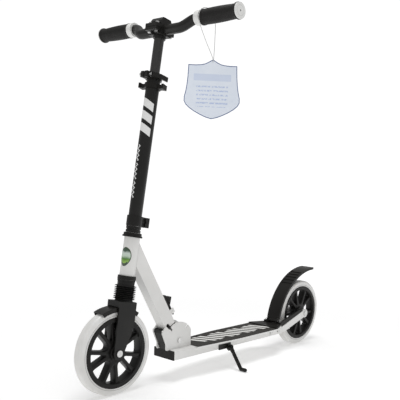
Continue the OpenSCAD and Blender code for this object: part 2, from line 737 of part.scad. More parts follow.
module boot() color("black") at_steer() rotate_extrude() {
    pitch = (boot_pleat_z1 - boot_pleat_z0) / boot_pleats;
    root = boot_neck_d / 2;
    tip = boot_d / 2;
    polygon(concat(
        [[root + 1, crown_z1 + 0.1], [root, boot_pleat_z0]],
        [for (i = [0:boot_pleats - 1]) for (p = [[tip, i + 0.5], [root, i + 1]]) [p[0], boot_pleat_z0 + p[1] * pitch]],
        [[root, boot_z1 - 4], [root + 1, boot_z1 - 3], [root + 1, boot_z1],
         [root - boot_wall, boot_z1], [root - boot_wall, boot_pleat_z1]],
        [for (i = [boot_pleats - 1:-1:0]) for (p = [[tip - boot_wall, i + 0.5], [root - boot_wall, i]])
            [p[0], boot_pleat_z0 + p[1] * pitch]],
        [[root - boot_wall, crown_z1 + 0.1]]));
}

module suspension_spring() color("silver") at_steer() translate([0, 0, crown_z1 + 0.3])
    coil((spring_d - spring_wire) / 2, spring_wire, spring_turns, race_z0 - crown_z1 - 0.6, 14);

// Guard over the front tyre, screwed under the crown
module front_mudguard() color("dimgray") at_front_axle() rotate([90, 0, 0]) rotate([0, 0, guard_start])
    rotate_extrude(angle = guard_end - guard_start) {
        translate([guard_r, -guard_half]) square([guard_t, 2 * guard_half]);
        for (side = [-1, 1]) translate([guard_r - guard_skirt, side * (guard_half - 0.75) - 0.75])
            square([guard_skirt + guard_t, 1.5]);
    }

module front_axle_set() color("silver") at_front_axle() {
    rod_y(axle_d, -fork_y1 - 4, fork_y1 + 1);
    rod_y(2 * bolt_head_r, fork_y1 + 0.1, fork_y1 + bolt_head_h);
    rotate([0, 15, 0]) translate([0, -fork_y1 - 0.1, 0]) rotate([90, 0, 0]) cylinder(r = bolt_head_r, h = 4, $fn = 6);
    both_sides() ring_y(axle_d + 6, axle_d + 2 * seat_gap, core_w / 2 + 0.2, blade_inner_y - 0.1);
}

// Wheels, with their axle along Y through the origin

module tyre() rotate([90, 0, 0]) rotate_extrude() {
    translate([rim_r + seat_gap, -tyre_w / 2]) square([tyre_t - seat_gap - shoulder_r, tyre_w]);
    translate([rim_r + seat_gap, shoulder_r - tyre_w / 2]) square([tyre_t - seat_gap, tyre_w - 2 * shoulder_r]);
    for (side = [-1, 1]) translate([wheel_r - shoulder_r, side * (tyre_w / 2 - shoulder_r)]) circle(r = shoulder_r);
}

// One spoke's XZ outline, leaving the hub and meeting the rim on one side of the pair's middle line
module spoke_outline(middle, side) {
    a = middle + side * spoke_hub_split / 2;
    b = middle + side * spoke_split / 2;
    p = (hub_r - 2) * [cos(a), sin(a)];
    q = (rim_r - rim_t + 2) * [cos(b), sin(b)];
    n = spoke_w / 2 * unit([p[1] - q[1], q[0] - p[0]]);
    polygon([p - n, q - n, q + n, p + n]);
}

module core(phase) difference() {
    union() {
        ring_y(2 * rim_r, 2 * (rim_r - rim_t), -core_w / 2, core_w / 2);
        rod_y(2 * hub_r, -core_w / 2, core_w / 2);
        slab_y(-core_w / 2 + 4, core_w / 2 - 4) for (k = [1:spoke_pairs]) for (side = [-1, 1])
            spoke_outline(phase + 360 / spoke_pairs * k, side);
    }
    rod_y(bearing_d - 6, -core_w, core_w);
    both_sides() rod_y(bearing_d + 2 * seat_gap, core_w / 2 - bearing_w, core_w);
}

module bearings() both_sides()
    ring_y(bearing_d, axle_d + 2 * run_gap, core_w / 2 - bearing_w + 0.1, core_w / 2);

module front_tyre() color("gainsboro") at_front_axle() tyre();

module front_core() color("dimgray") at_front_axle() rotate([0, steer_lean, 0]) core(front_spoke_phase);

module front_bearings() color("silver") at_front_axle() bearings();

module rear_tyre() color("gainsboro") at_rear_axle() tyre();

module rear_core() color("dimgray") at_rear_axle() core(rear_spoke_phase);

module rear_bearings() color("silver") at_rear_axle() bearings();

// Bar

module inner_tube() color("gray") at_steer() translate([0, 0, inner_z0])
    ring(inner_d, inner_d - 2 * bar_wall, bar_z - bar_d / 2 - 1 - inner_z0);

module clamp_bolt_holes() for (x = [-20.5, 20.5]) for (y = [-11, 11]) translate([x, y, -30]) cylinder(d = 5.4, h = 60);

module bar_clamp_base() color("dimgray") at_steer() translate([0, 0, bar_z]) difference() {
    union() {
        block([-15.5, -20, -13], [15.5, 20, -0.4]);
        block([-26, -18, -7], [29, 18, -0.4]);
        translate([0, 0, -18]) cylinder(d = inner_d + 6, h = 10);
    }
    rod_y(bar_d + 2 * seat_gap, -30, 30);
    translate([0, 0, -30]) cylinder(d = inner_d + 2 * seat_gap, h = 30 - bar_d / 2 - 0.5);
    clamp_bolt_holes();
}

module bar_clamp_cap() color("dimgray") at_steer() translate([0, 0, bar_z]) difference() {
    union() {
        slab_y(-18, 18) polygon([[-15.5, 0.4], [15.5, 0.4], [15.5, 18], [11, 25], [-11, 25], [-15.5, 18]]);
        block([-26, -18, 0.4], [29, 18, 8]);
    }
    rod_y(bar_d + 2 * seat_gap, -30, 30);
    clamp_bolt_holes();
}

module bar_clamp_bolts() color("silver") at_steer() translate([0, 0, bar_z])
    for (x = [-20.5, 20.5]) for (y = [-11, 11]) translate([x, y, 0]) {
        translate([0, 0, -9]) cylinder(d = 5, h = 18);
        translate([0, 0, 8.1]) cylinder(d = 8.5, h = 4.4);
        translate([0, 0, -10.5]) cylinder(d = 8.5, h = 3.3);
    }

// Half the bar's centre line from the middle outwards, up one bend and back level in the other
function bar_half(end) = concat(
    [for (t = [0:bar_bend / 5:bar_bend]) [0, bar_middle + bend_r * sin(t), bend_r * (1 - cos(t))]],
    [for (t = [bar_bend:-bar_bend / 5:-0.01])
        [0, bar_middle + riser_y - bend_r * sin(t), riser_h - bend_r * (1 - cos(t))]],
    [[0, end, riser_h]]);
function bar_path(end) = let (h = bar_half(end), n = len(h))
    concat([for (i = [n - 1:-1:0]) [h[i][0], -h[i][1], h[i][2]]], h);

module handlebar() color("dimgray") at_steer() translate([0, 0, bar_z]) rotate([0, -atan(bar_sweep / bar_rise), 0]) difference() {
    sweep(bar_path(grip_y1), bar_d, 36, [1, 0, 0]);
    sweep(bar_path(grip_y1 + 1), bar_d - 2 * bar_wall, 36, [1, 0, 0]);
}

module at_grips() at_steer() translate([-bar_sweep, 0, grip_station]) children();

module grips() color("dimgray") at_grips() both_sides() translate([0, grip_y1 - 0.1, 0]) rotate([90, 0, 0])
    rotate_extrude() polygon([[bar_d / 2 + seat_gap, 0], [grip_d / 2 + 1.5, 0], [grip_d / 2 + 1.5, 4],
        [grip_d / 2 - 0.8, 10], [grip_d / 2 + 0.7, grip_len * 0.5], [grip_d / 2 + 0.4, grip_len * 0.9],
        [grip_d / 2 + 0.8, grip_len - 0.2], [bar_d / 2 + seat_gap, grip_len - 0.2]]);

module grip_collars() color("gainsboro") at_grips() both_sides()
    ring_y(grip_d + 1, bar_d + 2 * seat_gap, grip_y0 - grip_collar_w, grip_y0 - 0.1);

module bar_end_plugs() color("gainsboro") at_grips() both_sides() {
    rod_y(grip_d + 1.4, grip_y1, grip_y1 + plug_w);
    rod_y(bar_d - 2 * bar_wall - 2 * seat_gap, grip_y1 - 14, grip_y1 + 1);
}

// Brake and stand

module fender() color("dimgray") difference() {
    union() {
        translate([fender_cx, 0, fender_cz]) rotate([90, 0, 0]) {
            rotate([0, 0, fender_start]) rotate_extrude(angle = fender_end - fender_start) {
                translate([fender_r - fender_t, -fender_w / 2]) square([fender_t, fender_w]);
                for (side = [-1, 1]) translate([fender_r - fender_t - 4, side * (fender_w / 2 - 1) - 1]) square([5, 2]);
            }
            for (a = [50:4.5:72]) rotate([0, 0, a]) translate([fender_r - 0.5, -1.3, -fender_w / 2 + 3])
                cube([2.3, 2.6, fender_w - 6]);
        }
        translate([hinge_x, 0, hinge_z]) rod_y(2 * barrel_r, -barrel_half, barrel_half);
    }
    translate([hinge_x, 0, hinge_z]) {
        rod_y(fender_pin_d + 2 * run_gap, -40, 40);
        both_sides() rod_y(16, barrel_half, 40);
    }
}

// Pad that meets the tyre when the fender is pressed
module brake_pad() color("black") intersection() {
    at_rear_axle() rotate([0, -pad_angle, 0]) block([wheel_r + pad_gap, -11, -12], [wheel_r + 60, 11, 12]);
    translate([fender_cx, 0, fender_cz]) rod_y(2 * (fender_r - fender_t) - 0.2, -40, 40);
}

module kickstand() color("dimgray") at_stand() difference() {
    union() {
        translate([0, 0, -3]) cylinder(r = 7, h = 6);
        block([-5, 0, -3], [5, 14, 3]);
        translate([0, 10, 0]) rotate([-90, 0, 0]) cylinder(d = stand_d, h = stand_len - 10);
        translate([0, stand_len, 0]) sphere(d = stand_d);
        translate([0, stand_len, 0]) rotate([90 - stand_lean, 0, 0]) {
            rotate([-90, 0, 0]) cylinder(d = stand_d, h = stand_foot);
            translate([0, stand_foot, 0]) sphere(d = stand_d);
        }
    }
    translate([0, 0, -10]) cylinder(d = stand_pivot_d + 2 * run_gap, h = 20);
}

// Hang tag

module hang_tag() color("white") at_grips() rotate([0, steer_lean, 0]) translate([0, tag_y, tag_top])
    rotate([90, 0, 90 + tag_turn]) translate([0, 0, -tag_t / 2]) linear_extrude(tag_t) difference() {
        polygon(concat(tag_half, [for (i = [len(tag_half) - 1:-1:1]) [-tag_half[i][0], tag_half[i][1]]]));
        translate([0, -7]) circle(d = 5);
    }

module tag_string() color("lightgray") at_grips() rotate([0, steer_lean, 0]) sweep(smooth(string_points, 5), string_d, 8, [0, 1, 0]);

deck_beam();
beam_end_cap();
platform();
grip_sheet();
fold_bracket();
fold_stop();
fold_pivot_bolt();
rear_arm_left();
rear_arm_right();
arm_bolts();
tail_cover();
fender_pin();
fender_spring();
stand_bracket();
rear_axle_set();
down_tube();
head_tube();
fold_block();
headset_cups();
headset_bearings();
lever_pin();
lock_pin();
release_lever();
steerer();
headset_locknuts();
stem_tube();
stem_collar();
collar_bolts();
height_sleeve();
height_clamp();
clamp_bolt();
bar_rest();
clamp_lever();
fork_slider();
fork_crown();
fork_blade_left();
fork_blade_right();
boot();
suspension_spring();
front_mudguard();
front_axle_set();
front_tyre();
front_core();
front_bearings();
rear_tyre();
rear_core();
rear_bearings();
inner_tube();
bar_clamp_base();
bar_clamp_cap();
bar_clamp_bolts();
handlebar();
grips();
grip_collars();
bar_end_plugs();
fender();
brake_pad();
kickstand();
hang_tag();
tag_string();
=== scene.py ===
# Children's folding kick scooter: pale polyurethane wheels, white deck and neck, black fork, stem and bar.
# X runs forwards, Y to the rider's left, Z up, in metres.
from math import atan2, cos, hypot, pi, radians, sin, sqrt

import bmesh
import bpy
from mathutils import Matrix, Vector


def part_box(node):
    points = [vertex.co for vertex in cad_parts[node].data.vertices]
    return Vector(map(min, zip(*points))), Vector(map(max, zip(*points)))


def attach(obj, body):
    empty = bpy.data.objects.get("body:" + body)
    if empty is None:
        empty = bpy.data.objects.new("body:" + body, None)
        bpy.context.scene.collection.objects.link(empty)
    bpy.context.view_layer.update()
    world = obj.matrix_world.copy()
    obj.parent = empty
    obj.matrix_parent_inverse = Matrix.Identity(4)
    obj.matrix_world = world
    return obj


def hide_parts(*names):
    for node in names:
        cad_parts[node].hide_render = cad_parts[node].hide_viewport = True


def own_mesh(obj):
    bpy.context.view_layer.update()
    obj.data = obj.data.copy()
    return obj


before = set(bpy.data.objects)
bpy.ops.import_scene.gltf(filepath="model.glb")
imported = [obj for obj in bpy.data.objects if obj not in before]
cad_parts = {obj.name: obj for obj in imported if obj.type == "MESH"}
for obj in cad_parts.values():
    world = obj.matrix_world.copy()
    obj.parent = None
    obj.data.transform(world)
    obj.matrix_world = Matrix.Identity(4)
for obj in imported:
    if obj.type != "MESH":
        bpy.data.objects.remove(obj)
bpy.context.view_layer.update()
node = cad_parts

# --- Camera ---------------------------------------------------------------------------------------
# Stands ahead of the scooter on its left, at knee height, and leans a little with the parked scooter.
azimuth, elevation, roll = radians(129.30), radians(9.52), radians(2.52)
camera_place = (1.2418, 1.0886, 0.4834)
back = Vector((sin(azimuth) * cos(elevation), -cos(azimuth) * cos(elevation), sin(elevation)))
right = Vector((0, 0, 1)).cross(back).normalized()
top = back.cross(right)
view_right = right * cos(roll) + top * sin(roll)
view_top = top * cos(roll) - right * sin(roll)
lens = bpy.data.cameras.new("camera")
lens.sensor_width = 36
lens.lens = 620.8 / 400 * 36
lens.shift_x = -0.1056
lens.shift_y = 0.2270
lens.clip_start = 0.05
lens.clip_end = 100
camera = bpy.data.objects.new("camera", lens)
bpy.context.scene.collection.objects.link(camera)
camera.matrix_world = Matrix((
    (view_right.x, view_top.x, back.x, camera_place[0]),
    (view_right.y, view_top.y, back.y, camera_place[1]),
    (view_right.z, view_top.z, back.z, camera_place[2]),
    (0, 0, 0, 1)))
bpy.context.scene.camera = camera

# --- White painted frame --------------------------------------------------------------------------
# Steel and alloy pieces under one white powder coat: deck beam, fold plates, rear arms, down tube and head
# tube. The coat is glossy with a faint orange peel, and it collects a little grey in use.


def grow(tree, kind, **sockets):
    made = tree.nodes.new("ShaderNode" + kind)
    for name, value in sockets.items():
        made.inputs[name.replace("_", " ")].default_value = value
    return made


def blank_paint(name, colour, roughness, **sockets):
    material = bpy.data.materials.new(name)
    material.use_nodes = True
    material.diffuse_color = (*colour, 1)
    shader = material.node_tree.nodes["Principled BSDF"]
    shader.inputs["Base Color"].default_value = (*colour, 1)
    shader.inputs["Roughness"].default_value = roughness
    for socket, value in sockets.items():
        shader.inputs[socket.replace("_", " ")].default_value = value
    return material, material.node_tree, shader


def object_noise(tree, scale, detail=3, stretch=(1, 1, 1), roughness=0.55):
    place = grow(tree, "TexCoord")
    turn = grow(tree, "Mapping", Scale=stretch)
    noise = grow(tree, "TexNoise", Scale=scale, Detail=detail, Roughness=roughness)
    tree.links.new(place.outputs["Object"], turn.inputs["Vector"])
    tree.links.new(turn.outputs["Vector"], noise.inputs["Vector"])
    return noise.outputs["Fac"]


def ramp(tree, source, stops):
    made = grow(tree, "ValToRGB")
    made.color_ramp.elements[0].position, made.color_ramp.elements[1].position = stops[0][0], stops[-1][0]
    made.color_ramp.elements[0].color = (*stops[0][1], 1)
    made.color_ramp.elements[1].color = (*stops[-1][1], 1)
    for position, colour in stops[1:-1]:
        made.color_ramp.elements.new(position).color = (*colour, 1)
    tree.links.new(source, made.inputs["Fac"])
    return made.outputs["Color"]


def colour_by(tree, source, shader):
    tree.links.new(source, shader.inputs["Base Color"])


def bump(tree, source, shader, distance, strength=0.5):
    made = grow(tree, "Bump", Strength=strength, Distance=distance)
    tree.links.new(source, made.inputs["Height"])
    tree.links.new(made.outputs["Normal"], shader.inputs["Normal"])


def vary_roughness(tree, source, shader, low, high):
    made = grow(tree, "MapRange", To_Min=low, To_Max=high)
    tree.links.new(source, made.inputs["Value"])
    tree.links.new(made.outputs["Result"], shader.inputs["Roughness"])


def powder_coat(name, colour, soiled, roughness, peel=0.00004, gloss=0.5, coat=0.25):
    material, tree, shader = blank_paint(name, colour, roughness, Coat_Weight=coat, Coat_Roughness=0.18)
    shader.inputs["Specular IOR Level"].default_value = gloss
    colour_by(tree, ramp(tree, object_noise(tree, 9, 4), [(0.3, soiled), (0.62, colour)]), shader)
    vary_roughness(tree, object_noise(tree, 60), shader, roughness - 0.06, roughness + 0.08)
    bump(tree, object_noise(tree, 900, 2), shader, peel)
    return material


def dress(names, material):
    for name in names:
        node[name].data.materials.clear()
        node[name].data.materials.append(material)


white_coat = powder_coat("white powder coat", (0.80, 0.795, 0.78), (0.74, 0.735, 0.715), 0.34)
dress(["deck_beam", "fold_bracket", "rear_arm_left", "rear_arm_right", "down_tube", "head_tube"], white_coat)
alloy_coat = powder_coat("coated deck alloy", (0.84, 0.84, 0.825), (0.78, 0.78, 0.765), 0.3)
dress(["platform"], alloy_coat)

# --- Deck cap and black mouldings -----------------------------------------------------------------
# Glass-filled nylon pieces, moulded with a fine spark texture: beam cap, tail cover, fold block and stop,
# lock pin, levers, headset cups, the stem's sleeve and bar rest, front guard and rear fender.


def moulded(name, colour, roughness, grain=1400, depth=0.00005):
    material, tree, shader = blank_paint(name, colour, roughness)
    shader.inputs["Specular IOR Level"].default_value = 0.2
    lighter = tuple(min(1, c * 1.5 + 0.002) for c in colour)
    colour_by(tree, ramp(tree, object_noise(tree, 14, 5), [(0.35, colour), (0.75, lighter)]), shader)
    vary_roughness(tree, object_noise(tree, 45), shader, roughness - 0.07, roughness + 0.09)
    bump(tree, object_noise(tree, grain, 2), shader, depth)
    return material


black_nylon = moulded("black nylon", (0.010, 0.0095, 0.0085), 0.42)
dress(["beam_end_cap", "tail_cover", "fold_block", "fold_stop", "headset_cups", "height_sleeve",
       "release_lever", "clamp_lever", "bar_rest", "lock_pin"], black_nylon)
fender_nylon = moulded("fender nylon", (0.009, 0.0085, 0.0075), 0.3, grain=1100, depth=0.00003)
dress(["fender", "front_mudguard"], fender_nylon)

# --- Grip sheet -----------------------------------------------------------------------------------
# Black abrasive sheet glued to the platform, with a pale print of slanted bars along it.
# The grit is fine and dense, and the print is thin enough for it to show through.
def calc(tree, operation, first, second):
    made = grow(tree, "Math")
    made.operation = operation
    for socket, value in zip(made.inputs, (first, second)):
        if isinstance(value, (int, float)):
            socket.default_value = value
        else:
            tree.links.new(value, socket)
    return made.outputs[0]


def between(tree, value, low, high):
    above = calc(tree, "GREATER_THAN", value, low)
    below = calc(tree, "LESS_THAN", value, high)
    return calc(tree, "MULTIPLY", above, below)


def object_axes(tree, centre=None, turned_by=(0, 0, 0)):
    """X, Y and Z on a piece, or from a centre and along turned axes where one is given."""
    place = grow(tree, "TexCoord")
    split = grow(tree, "SeparateXYZ")
    source = place.outputs["Object"]
    if centre is not None:
        turn = grow(tree, "Mapping", Location=centre, Rotation=turned_by)
        turn.vector_type = "TEXTURE"
        tree.links.new(source, turn.inputs["Vector"])
        source = turn.outputs["Vector"]
    tree.links.new(source, split.inputs["Vector"])
    return split.outputs


def print_over(tree, mask, coat, ink_colour):
    """The coat's colour, with flat ink over it where the mask is 1."""
    ink = grow(tree, "MixRGB", Color2=(*ink_colour, 1))
    tree.links.new(mask, ink.inputs["Fac"])
    tree.links.new(coat, ink.inputs["Color1"])
    return ink.outputs["Color"]


bar_pitch = 0.0235
bar_slant = 0.5
tape, tree, shader = blank_paint("printed grip sheet", (0.04, 0.038, 0.034), 0.85)
along, across, _ = object_axes(tree)
slant = calc(tree, "ADD", along, calc(tree, "MULTIPLY", across, bar_slant))
stroke = calc(tree, "FRACT", calc(tree, "DIVIDE", slant, bar_pitch), 0)
triple = calc(tree, "FRACT", calc(tree, "DIVIDE", slant, 3 * bar_pitch), 0)
bars = between(tree, stroke, 0.2, 0.76)
two_of_three = calc(tree, "GREATER_THAN", triple, 1 / 3)
long_bars = calc(tree, "MULTIPLY", between(tree, across, -0.031, 0.027), two_of_three)
short_bars = between(tree, across, -0.022, 0.018)
stretch = between(tree, slant, -0.185, 0.094)
marked = calc(tree, "MULTIPLY", calc(tree, "MAXIMUM", long_bars, short_bars), stretch)
printed = calc(tree, "MULTIPLY", bars, marked)
speck = object_noise(tree, 2300, 2)
worn = calc(tree, "MULTIPLY", printed, calc(tree, "GREATER_THAN", speck, 0.33))
grit_tones = [(0.35, (0.012, 0.0115, 0.010)), (0.55, (0.032, 0.030, 0.026)), (0.75, (0.085, 0.08, 0.072))]
grit = ramp(tree, speck, grit_tones)
colour_by(tree, print_over(tree, worn, grit, (0.82, 0.815, 0.79)), shader)
bump(tree, speck, shader, 0.0004, 0.7)
dress(["grip_sheet"], tape)

# --- Bright fasteners and shafts ------------------------------------------------------------------
# Zinc-plated steel bolts, nuts, pins, springs and the sliding rod, and the ground steel of the bearings.


def bright_steel(name, colour, roughness, brushed=(1, 1, 1)):
    material, tree, shader = blank_paint(name, colour, roughness, Metallic=1.0)
    darker = tuple(c * 0.72 for c in colour)
    colour_by(tree, ramp(tree, object_noise(tree, 160, 4, brushed), [(0.3, darker), (0.7, colour)]), shader)
    vary_roughness(tree, object_noise(tree, 220, 3, brushed), shader, roughness - 0.08, roughness + 0.1)
    bump(tree, object_noise(tree, 500, 2, brushed), shader, 0.00003, 0.4)
    return material


zinc = bright_steel("bright zinc", (0.72, 0.72, 0.71), 0.3)
dress(["fold_pivot_bolt", "arm_bolts", "fender_pin", "fender_spring", "rear_axle_set", "lever_pin", "steerer",
       "clamp_bolt", "fork_slider", "front_axle_set", "bar_clamp_bolts"], zinc)
ground_steel = bright_steel("ground bearing steel", (0.66, 0.66, 0.67), 0.2)
dress(["headset_bearings", "front_bearings", "rear_bearings"], ground_steel)

# --- Black painted steel --------------------------------------------------------------------------
# Fork, stem collar and its bolts, clamps, locknuts, kickstand and handlebar, under a satin black powder coat.
black_coat = powder_coat("black powder coat", (0.010, 0.0098, 0.009), (0.017, 0.0165, 0.015), 0.33,
                         gloss=0.22, coat=0.04)
dress(["collar_bolts", "headset_locknuts", "stem_collar", "height_clamp", "fork_crown", "fork_blade_left",
       "fork_blade_right", "bar_clamp_base", "bar_clamp_cap", "handlebar", "kickstand", "stand_bracket"],
      black_coat)

# --- Wheels ---------------------------------------------------------------------------------------
# Cast polyurethane tyres, milky and slightly translucent, with the shade of a fine groove painted as a grey
# ring round each side and faint marks from the mould. The satin black cores have five pairs of spokes with
# rounded windows between them.
half_base = 0.365
wheel_radius = 0.1


def cast_tyre(name, axle_x):
    material, tree, shader = blank_paint(name, (0.80, 0.795, 0.78), 0.38, Subsurface_Weight=0.12,
                                         Subsurface_Scale=0.004, Coat_Weight=0.15, Coat_Roughness=0.3)
    shader.inputs["Subsurface Radius"].default_value = (1.0, 0.95, 0.85)
    body = ramp(tree, object_noise(tree, 16, 5), [(0.3, (0.71, 0.70, 0.675)), (0.6, (0.81, 0.805, 0.79))])
    x, _, z = object_axes(tree)
    ahead = calc(tree, "ABSOLUTE", calc(tree, "SUBTRACT", x, axle_x), 0)
    above = calc(tree, "ABSOLUTE", calc(tree, "SUBTRACT", z, wheel_radius), 0)
    squares = calc(tree, "ADD", calc(tree, "POWER", ahead, 2), calc(tree, "POWER", above, 2))
    # Painted shade: a grey ring round each side of the tyre stands for the shade inside a fine groove.
    groove = between(tree, calc(tree, "SQRT", squares, 0), 0.0862, 0.0876)
    colour_by(tree, print_over(tree, calc(tree, "MULTIPLY", groove, 0.8), body, (0.40, 0.40, 0.39)), shader)
    vary_roughness(tree, object_noise(tree, 70), shader, 0.3, 0.5)
    bump(tree, object_noise(tree, 650, 3), shader, 0.00006)
    return material


dress(["front_tyre"], cast_tyre("front cast polyurethane", half_base))
dress(["rear_tyre"], cast_tyre("rear cast polyurethane", -half_base))


def settle(piece, where=None):
    """Bakes the piece's place into its mesh, with its faces outwards."""
    if where is not None:
        piece.matrix_world = where @ piece.matrix_world
    bpy.context.view_layer.update()
    piece.data.transform(piece.matrix_world)
    piece.matrix_world = Matrix.Identity(4)
    shell = bmesh.new()
    shell.from_mesh(piece.data)
    bmesh.ops.remove_doubles(shell, verts=shell.verts, dist=1e-6)
    bmesh.ops.recalc_face_normals(shell, faces=shell.faces)
    shell.to_mesh(piece.data)
    shell.free()


def alone(piece):
    bpy.ops.object.select_all(action="DESELECT")
    piece.select_set(True)
    bpy.context.view_layer.objects.active = piece


def turned(name, outline, sides=72):
    """Spins a closed outline of (radius, height) about Z."""
    bpy.ops.object.select_all(action="DESELECT")
    bpy.ops.mesh.primitive_circle_add(vertices=len(outline), radius=0.01)
    piece = bpy.context.active_object
    piece.name = name
    for vertex, (radius, height) in zip(piece.data.vertices, outline):
        vertex.co = (radius, 0, height)
    bpy.ops.object.mode_set(mode="EDIT")
    bpy.ops.mesh.select_all(action="SELECT")
    bpy.ops.mesh.spin(steps=sides, angle=2 * pi, center=(0, 0, 0), axis=(0, 0, 1))
    bpy.ops.mesh.select_all(action="SELECT")
    bpy.ops.mesh.remove_doubles(threshold=1e-6)
    bpy.ops.object.mode_set(mode="OBJECT")
    return piece


def smooth_by(piece, degrees):
    alone(piece)
    bpy.ops.object.shade_smooth_by_angle(angle=radians(degrees))


def softened(corners, reach):
    """Rounds every corner of a closed outline, by up to the reach along each edge."""
    points = []
    for k, corner in enumerate(corners):
        before = corners[k - 1] - corner
        after = corners[(k + 1) % len(corners)] - corner
        start = corner + before * min(0.48, reach / before.length)
        end = corner + after * min(0.48, reach / after.length)
        for t in (0, 0.2, 0.4, 0.6, 0.8, 1):
            points.append(start * (1 - t) ** 2 + corner * 2 * t * (1 - t) + end * t ** 2)
    return points


def spot_at(radius, angle):
    return radius * Vector((cos(angle), sin(angle)))


spoke_half = 0.00425
root_radius, root_angle = 0.016, radians(10)
tip_radius, tip_angle = 0.074, radians(15.5)


def spoke_edge(middle, side, way, radius):
    """A point on one long edge of a straight spoke, at a radius from the axle."""
    root = spot_at(root_radius, middle + side * root_angle)
    tip = spot_at(tip_radius, middle + side * tip_angle)
    along = (tip - root).normalized()
    root += way * spoke_half * Vector((-along.y, along.x))
    inwards = root.dot(along)
    return root + along * (sqrt(inwards ** 2 - root.length_squared + radius ** 2) - inwards)


window_radius = 0.0715


def window(first, last, inner, reach):
    """Outline of the opening between two spoke edges, each given as (pair angle, side, way)."""
    start, end = spoke_edge(*first, window_radius), spoke_edge(*last, window_radius)
    turn = atan2(start.x * end.y - start.y * end.x, start.dot(end))
    rim = [Matrix.Rotation(turn * t, 2) @ start for t in (0, 0.25, 0.5, 0.75, 1)]
    return softened([spoke_edge(*first, inner)] + rim + [spoke_edge(*last, inner)], reach)


core_nylon = moulded("wheel core nylon", (0.008, 0.0075, 0.007), 0.34)
core_half, core_bevel = 0.0145, 0.0013
web_half, web_bevel = 0.0105, 0.0016
web_radius, web_hole = 0.076, 0.0125
rim_outside, rim_inside = 0.083, 0.072
hub_radius, bearing_seat, bearing_step, axle_bore = 0.018, 0.0111, 0.0075, 0.008
rim_wall = [(rim_inside, -core_half + core_bevel), (rim_inside + core_bevel, -core_half),
            (rim_outside - 0.001, -core_half), (rim_outside, -core_half + 0.001),
            (rim_outside, core_half - 0.001), (rim_outside - 0.001, core_half),
            (rim_inside + core_bevel, core_half), (rim_inside, core_half - core_bevel)]
hub_wall = [(bearing_seat, -core_half), (hub_radius - 0.0012, -core_half), (hub_radius, -core_half + 0.0012),
            (hub_radius, core_half - 0.0012), (hub_radius - 0.0012, core_half), (bearing_seat, core_half),
            (bearing_seat, bearing_step), (axle_bore, bearing_step), (axle_bore, -bearing_step),
            (bearing_seat, -bearing_step)]


def spoked_web(name, phase):
    """Flat disc with five wide windows and five narrow ones, and its edges rounded."""
    outlines = [[spot_at(radius, 2 * pi * k / 96) for k in range(96)] for radius in (web_radius, web_hole)]
    for k in range(5):
        here, beyond = phase + radians(72) * k, phase + radians(72) * (k + 1)
        outlines.append(window((here, 1, 1), (beyond, -1, -1), 0.0265, 0.009))
        outlines.append(window((here, -1, 1), (here, 1, -1), 0.0285, 0.006))
    sheet = bpy.data.curves.new(name, "CURVE")
    sheet.dimensions = "2D"
    sheet.fill_mode = "BOTH"
    sheet.bevel_depth = web_bevel
    sheet.bevel_resolution = 2
    sheet.offset = -web_bevel
    sheet.extrude = web_half - web_bevel
    for outline in outlines:
        loop = sheet.splines.new("POLY")
        loop.points.add(len(outline) - 1)
        for point, spot in zip(loop.points, outline):
            point.co = (spot.x, spot.y, 0, 1)
        loop.use_cyclic_u = True
    web = bpy.data.objects.new(name, sheet)
    bpy.context.scene.collection.objects.link(web)
    alone(web)
    bpy.ops.object.convert(target="MESH")
    return bpy.context.active_object


def cast_core(name, body, axle_x, phase):
    web = spoked_web(name, phase)
    rim = turned(name + "_rim", rim_wall, 128)
    hub = turned(name + "_hub", hub_wall)
    bpy.ops.object.select_all(action="DESELECT")
    for part in (rim, hub, web):
        part.select_set(True)
    bpy.context.view_layer.objects.active = web
    bpy.ops.object.join()
    settle(web, Matrix.Translation((axle_x, 0, wheel_radius)) @ Matrix.Rotation(pi / 2, 4, "X"))
    smooth_by(web, 40)
    web.data.materials.clear()
    web.data.materials.append(core_nylon)
    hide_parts(name)
    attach(web, body)


cast_core("front_core", "front_wheel", half_base, radians(-6))
cast_core("rear_core", "rear_wheel", -half_base, radians(-15))

# --- Bellows --------------------------------------------------------------------------------------
# Rubber gaiter between the crown and the headset, with rounded pleats, over a zinc-plated coil spring.
# The gaiter is turned from one outline.
steer_lean = radians(9)
fork_rake = 0.010
foot = Vector((half_base - fork_rake * cos(steer_lean), 0, wheel_radius - fork_rake * sin(steer_lean)))
steering = Matrix.Translation(foot) @ Matrix.Rotation(-steer_lean, 4, "Y")
pleat_count, pleat_steps = 8, 8
pleat_foot, pleat_rise = 0.1215, 0.0333
gaiter_foot, gaiter_top = 0.1183, 0.1668
pleats = []
for k in range(pleat_count * pleat_steps + 1):
    turn = 2 * pi * k / pleat_steps
    pleats.append((0.0222 - 0.0028 * cos(turn), pleat_foot + pleat_rise * k / (pleat_count * pleat_steps)))
cuff = [(0.0195, 0.1625), (0.0204, 0.1632), (0.0204, gaiter_top), (0.0179, gaiter_top)]
outline = [(0.0205, gaiter_foot), (0.0205, 0.1205)] + pleats + cuff + [(0.0179, gaiter_foot)]
gaiter = turned("gaiter", outline, 64)
settle(gaiter, steering)
smooth_by(gaiter, 50)
black_rubber = moulded("black rubber", (0.010, 0.010, 0.0095), 0.5, grain=900)
gaiter.data.materials.append(black_rubber)
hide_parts("boot")
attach(gaiter, "column")
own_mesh(gaiter)

